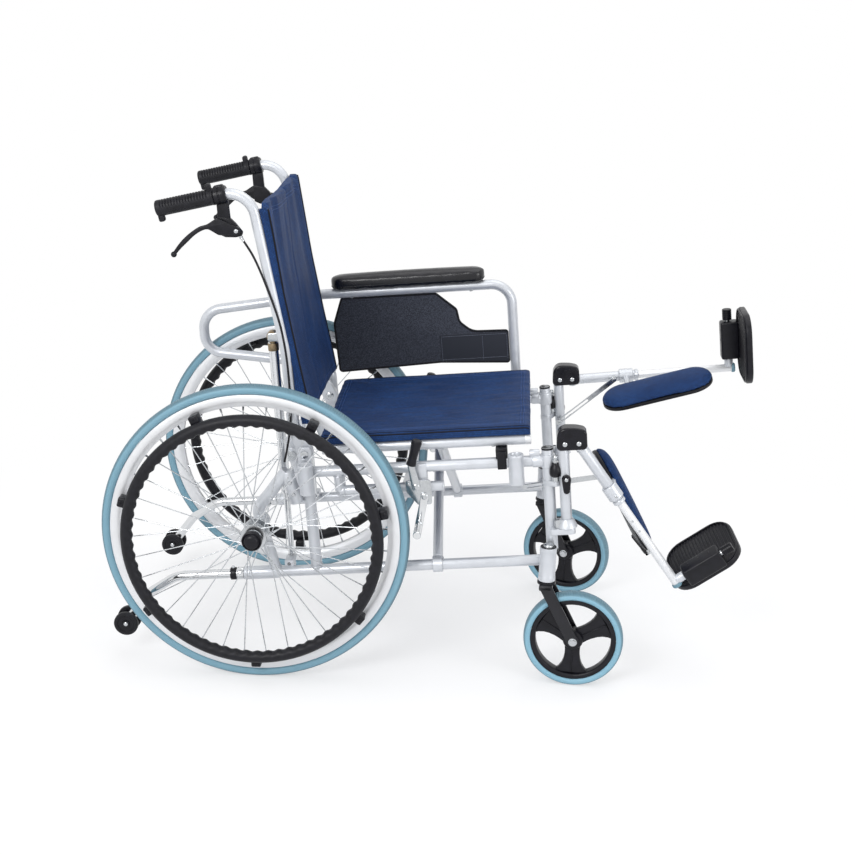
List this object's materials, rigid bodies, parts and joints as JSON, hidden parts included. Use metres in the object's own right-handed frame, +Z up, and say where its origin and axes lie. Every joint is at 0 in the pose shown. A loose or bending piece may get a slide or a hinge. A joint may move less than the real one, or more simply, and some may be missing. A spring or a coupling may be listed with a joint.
{
  "type": "wheelchair",
  "caption": "Folding reclining wheelchair: sling seat, reclining sling back, a left armrest, spoked rear wheels, elevating leg rests with calf pads, wheel locks, anti-tip rollers.",
  "frame": {"origin": "on the floor under the middle of the whole chair's box, as it stands in the picture", "axes": "+X forwards, +Y to the user's left, +Z up"},
  "size_m": [1.3086, 0.68, 0.9712],
  "materials": {
    "silver_paint": "silver powder coat, satin",
    "zinc": "bright zinc plating",
    "chrome": "polished",
    "black_plastic": "moulded, satin",
    "black_rubber": "moulded grip rubber",
    "blue_grey_tyre": "blue-grey solid tyre, matte",
    "navy_cloth": "navy woven cloth with black binding",
    "black_vinyl": "padded black vinyl"
  },
  "bodies": {
    "right_frame": {"side_frame_right": "silver_paint", "anti_tip_tube_right": "chrome"},
    "cross_arm_a": {"cross_arm_a": "silver_paint", "cross_pin": "zinc", "seat_sling": "navy_cloth"},
    "cross_arm_b": {"cross_arm_b": "silver_paint"},
    "left_frame": {"side_frame_left": "silver_paint", "anti_tip_tube_left": "chrome"},
    "right_cane": {"back_cane_right": "silver_paint", "hand_grip_right": "black_rubber", "lever_housing_right": "black_plastic", "release_cable_right": "black_plastic", "back_sling": "navy_cloth"},
    "right_strut_cylinder": {"strut_cylinder_right": "chrome"},
    "right_strut_rod": {"strut_rod_right": "chrome"},
    "right_recline_lever": {"recline_lever_right": "black_plastic"},
    "right_wheel": {"rear_tyre_right": "blue_grey_tyre", "rear_wheel_right": "silver_paint", "push_rim_right": "black_rubber"},
    "right_fork": {"caster_fork_right": "black_plastic"},
    "right_caster": {"caster_tyre_right": "blue_grey_tyre", "caster_hub_right": "black_plastic"},
    "right_tip_roller": {"anti_tip_roller_right": "black_rubber"},
    "right_lock_lever": {"lock_lever_right": "black_plastic"},
    "right_lock_shoe": {"lock_shoe_right": "chrome"},
    "right_hanger": {"leg_hanger_right": "silver_paint"},
    "right_latch": {"hanger_latch_right": "black_plastic"},
    "right_leg": {"leg_tube_right": "silver_paint"},
    "right_bar": {"elevation_bar_right": "zinc"},
    "right_slider": {"leg_slider_right": "silver_paint"},
    "right_leg_release": {"leg_release_right": "black_plastic"},
    "right_foot_plate": {"foot_plate_right": "black_plastic"},
    "right_calf_pad": {"calf_pad_right": "navy_cloth"},
    "left_cane": {"back_cane_left": "silver_paint", "hand_grip_left": "black_rubber", "lever_housing_left": "black_plastic", "release_cable_left": "black_plastic"},
    "left_strut_cylinder": {"strut_cylinder_left": "chrome"},
    "left_strut_rod": {"strut_rod_left": "chrome"},
    "left_recline_lever": {"recline_lever_left": "black_plastic"},
    "left_wheel": {"rear_tyre_left": "blue_grey_tyre", "rear_wheel_left": "silver_paint", "push_rim_left": "black_rubber"},
    "left_fork": {"caster_fork_left": "black_plastic"},
    "left_caster": {"caster_tyre_left": "blue_grey_tyre", "caster_hub_left": "black_plastic"},
    "left_tip_roller": {"anti_tip_roller_left": "black_rubber"},
    "left_lock_lever": {"lock_lever_left": "black_plastic"},
    "left_lock_shoe": {"lock_shoe_left": "chrome"},
    "left_hanger": {"leg_hanger_left": "silver_paint"},
    "left_latch": {"hanger_latch_left": "black_plastic"},
    "left_leg": {"leg_tube_left": "silver_paint"},
    "left_bar": {"elevation_bar_left": "zinc"},
    "left_slider": {"leg_slider_left": "silver_paint"},
    "left_leg_release": {"leg_release_left": "black_plastic"},
    "left_foot_plate": {"foot_plate_left": "black_plastic"},
    "left_calf_pad": {"calf_pad_left": "navy_cloth"},
    "armrest": {"armrest_tube": "silver_paint", "arm_pad": "black_vinyl", "side_panel": "black_vinyl"}
  },
  "joints": [
    {"name": "fold", "type": "hinge", "parent": "right_frame", "child": "cross_arm_a", "pos_m": [0.00926, -0.217, 0.23208], "axis": [0.9945, 0, 0.1045], "range_deg": [0, 41], "deforming": ["seat_sling", "back_sling"]},
    {"name": "cross", "type": "hinge", "parent": "cross_arm_a", "child": "cross_arm_b", "pos_m": [0.0066, 0, 0.36262], "axis": [0.9945, 0, 0.1045], "range_deg": [-82, 0]},
    {"name": "left_foot_of_cross", "type": "hinge", "parent": "cross_arm_b", "child": "left_frame", "pos_m": [0.03114, 0.217, 0.23438], "axis": [0.9945, 0, 0.1045], "range_deg": [0, 41]},
    {"name": "recline", "type": "hinge", "parent": "right_frame", "child": "right_cane", "pos_m": [-0.26221, -0.2, 0.45191], "axis": [0, -1, 0], "range_deg": [0, 60], "deforming": ["release_cable_right"]},
    {"name": "right_strut_head", "type": "hinge", "parent": "right_cane", "child": "right_strut_cylinder", "pos_m": [-0.33242, -0.177, 0.67982], "axis": [0, -1, 0], "range_deg": [-30, 0]},
    {"name": "right_strut_foot", "type": "hinge", "parent": "right_frame", "child": "right_strut_rod", "pos_m": [-0.29163, -0.177, 0.21526], "axis": [0, -1, 0], "range_deg": [0, 30]},
    {"name": "right_lever", "type": "hinge", "parent": "right_cane", "child": "right_recline_lever", "pos_m": [-0.39666, -0.2092, 0.88925], "axis": [0, 1, 0], "range_deg": [0, 22], "stiffness_Nm_per_rad": 0.6, "springref_deg": -5.73},
    {"name": "right_wheel_spin", "type": "hinge", "parent": "right_frame", "child": "right_wheel", "pos_m": [-0.34933, -0.283, 0.305], "axis": [0, 1, 0], "continuous": true},
    {"name": "right_caster_swivel", "type": "hinge", "parent": "right_frame", "child": "right_fork", "pos_m": [0.22767, -0.24, 0.25], "axis": [0, 0, 1], "continuous": true},
    {"name": "right_caster_spin", "type": "hinge", "parent": "right_fork", "child": "right_caster", "pos_m": [0.28745, -0.24513, 0.1], "axis": [0.0854, 0.9963, 0], "continuous": true},
    {"name": "right_tip_roller_spin", "type": "hinge", "parent": "right_frame", "child": "right_tip_roller", "pos_m": [-0.62547, -0.217, 0.07186], "axis": [0, 1, 0], "continuous": true},
    {"name": "right_wheel_lock", "type": "hinge", "parent": "right_frame", "child": "right_lock_lever", "pos_m": [-0.03798, -0.2426, 0.40409], "axis": [0, 1, 0], "range_deg": [0, 40]},
    {"name": "right_lock_shoe", "type": "hinge", "parent": "right_frame", "child": "right_lock_shoe", "pos_m": [-0.02087, -0.2426, 0.38477], "axis": [0, 1, 0], "range_deg": [0, 4.5]},
    {"name": "right_leg_rest_swing", "type": "hinge", "parent": "right_frame", "child": "right_hanger", "pos_m": [0.24142, -0.2325, 0.36709], "axis": [0.1045, 0, -0.9945], "range_deg": [0, 90]},
    {"name": "right_hanger_latch", "type": "hinge", "parent": "right_hanger", "child": "right_latch", "pos_m": [0.2542, -0.2475, 0.43681], "axis": [0, -1, 0], "range_deg": [0, 60], "stiffness_Nm_per_rad": 0.05, "springref_deg": -5.73},
    {"name": "right_leg_elevation", "type": "hinge", "parent": "right_hanger", "child": "right_leg", "pos_m": [0.27515, -0.23, 0.50537], "axis": [0, -1, 0], "range_deg": [0, 60]},
    {"name": "right_elevation_bar", "type": "hinge", "parent": "right_leg", "child": "right_bar", "pos_m": [0.32991, -0.20275, 0.43217], "axis": [0, -1, 0], "range_deg": [-30, 0]},
    {"name": "right_leg_length", "type": "slide", "parent": "right_leg", "child": "right_slider", "axis": [0.599, 0, -0.8007], "range_m": [-0.04, 0.08]},
    {"name": "right_leg_release", "type": "hinge", "parent": "right_slider", "child": "right_leg_release", "pos_m": [0.42168, -0.23, 0.28529], "axis": [0, 1, 0], "range_deg": [0, 8], "stiffness_Nm_per_rad": 0.05, "springref_deg": -5.73},
    {"name": "right_foot_plate_flip", "type": "hinge", "parent": "right_slider", "child": "right_foot_plate", "pos_m": [0.53306, -0.23, 0.26746], "axis": [0.8007, 0, 0.599], "range_deg": [-13, 17]},
    {"name": "right_calf_pad_swing", "type": "hinge", "parent": "right_leg", "child": "right_calf_pad", "pos_m": [0.34643, -0.23, 0.41009], "axis": [0.599, 0, -0.8007], "range_deg": [-8, 100]},
    {"name": "recline_left", "type": "hinge", "parent": "left_frame", "child": "left_cane", "pos_m": [-0.26221, 0.2, 0.45191], "axis": [0, -1, 0], "range_deg": [0, 60], "deforming": ["release_cable_left"]},
    {"name": "left_strut_head", "type": "hinge", "parent": "left_cane", "child": "left_strut_cylinder", "pos_m": [-0.33242, 0.177, 0.67982], "axis": [0, -1, 0], "range_deg": [-30, 0]},
    {"name": "left_strut_foot", "type": "hinge", "parent": "left_frame", "child": "left_strut_rod", "pos_m": [-0.29163, 0.177, 0.21526], "axis": [0, -1, 0], "range_deg": [0, 30]},
    {"name": "left_lever", "type": "hinge", "parent": "left_cane", "child": "left_recline_lever", "pos_m": [-0.39666, 0.2092, 0.88925], "axis": [0, 1, 0], "range_deg": [0, 22], "stiffness_Nm_per_rad": 0.6, "springref_deg": -5.73},
    {"name": "left_wheel_spin", "type": "hinge", "parent": "left_frame", "child": "left_wheel", "pos_m": [-0.34933, 0.283, 0.305], "axis": [0, 1, 0], "continuous": true},
    {"name": "left_caster_swivel", "type": "hinge", "parent": "left_frame", "child": "left_fork", "pos_m": [0.22767, 0.24, 0.25], "axis": [0, 0, 1], "continuous": true},
    {"name": "left_caster_spin", "type": "hinge", "parent": "left_fork", "child": "left_caster", "pos_m": [0.2848, 0.22166, 0.1], "axis": [0.3057, 0.9521, 0], "continuous": true},
    {"name": "left_tip_roller_spin", "type": "hinge", "parent": "left_frame", "child": "left_tip_roller", "pos_m": [-0.62547, 0.217, 0.07186], "axis": [0, 1, 0], "continuous": true},
    {"name": "left_wheel_lock", "type": "hinge", "parent": "left_frame", "child": "left_lock_lever", "pos_m": [-0.03798, 0.2426, 0.40409], "axis": [0, 1, 0], "range_deg": [0, 40]},
    {"name": "left_lock_shoe", "type": "hinge", "parent": "left_frame", "child": "left_lock_shoe", "pos_m": [-0.02087, 0.2426, 0.38477], "axis": [0, 1, 0], "range_deg": [0, 4.5]},
    {"name": "left_leg_rest_swing", "type": "hinge", "parent": "left_frame", "child": "left_hanger", "pos_m": [0.24142, 0.2325, 0.36709], "axis": [-0.1045, 0, 0.9945], "range_deg": [0, 90]},
    {"name": "left_hanger_latch", "type": "hinge", "parent": "left_hanger", "child": "left_latch", "pos_m": [0.2542, 0.2475, 0.43681], "axis": [0, -1, 0], "range_deg": [0, 60], "stiffness_Nm_per_rad": 0.05, "springref_deg": -5.73},
    {"name": "left_leg_elevation", "type": "hinge", "parent": "left_hanger", "child": "left_leg", "pos_m": [0.27515, 0.23, 0.50537], "axis": [0, -1, 0], "range_deg": [-60, 0]},
    {"name": "left_elevation_bar", "type": "hinge", "parent": "left_leg", "child": "left_bar", "pos_m": [0.36582, 0.20275, 0.51699], "axis": [0, -1, 0], "range_deg": [0, 30]},
    {"name": "left_leg_length", "type": "slide", "parent": "left_leg", "child": "left_slider", "axis": [0.9919, 0, 0.1271], "range_m": [-0.04, 0.08]},
    {"name": "left_leg_release", "type": "hinge", "parent": "left_slider", "child": "left_leg_release", "pos_m": [0.53885, 0.23, 0.52454], "axis": [0, 1, 0], "range_deg": [0, 8], "stiffness_Nm_per_rad": 0.05, "springref_deg": -5.73},
    {"name": "left_foot_plate_flip", "type": "hinge", "parent": "left_slider", "child": "left_foot_plate", "pos_m": [0.60922, 0.23, 0.61269], "axis": [0.1271, 0, -0.9919], "range_deg": [0, 30]},
    {"name": "left_calf_pad_swing", "type": "hinge", "parent": "left_leg", "child": "left_calf_pad", "pos_m": [0.39318, 0.23, 0.52049], "axis": [-0.9919, 0, -0.1271], "range_deg": [-8, 100]},
    {"name": "armrest_lift", "type": "slide", "parent": "left_frame", "child": "armrest", "axis": [-0.1045, 0, 0.9945], "range_m": [0, 0.08]}
  ],
  "couplings": [
    {"joint": "cross", "follows": "fold", "ratio": -2},
    {"joint": "left_foot_of_cross", "follows": "fold", "ratio": 1},
    {"joint": "right_strut_head", "follows": "recline", "ratio": -0.5},
    {"joint": "right_strut_foot", "follows": "recline", "ratio": 0.5},
    {"joint": "right_lock_shoe", "follows": "right_wheel_lock", "ratio": 0.1125},
    {"joint": "right_elevation_bar", "follows": "right_leg_elevation", "ratio": -0.5},
    {"joint": "recline_left", "follows": "recline", "ratio": 1},
    {"joint": "left_strut_head", "follows": "recline", "ratio": -0.5},
    {"joint": "left_strut_foot", "follows": "recline", "ratio": 0.5},
    {"joint": "left_lock_shoe", "follows": "left_wheel_lock", "ratio": 0.1125},
    {"joint": "left_elevation_bar", "follows": "left_leg_elevation", "ratio": -0.5}
  ]
}
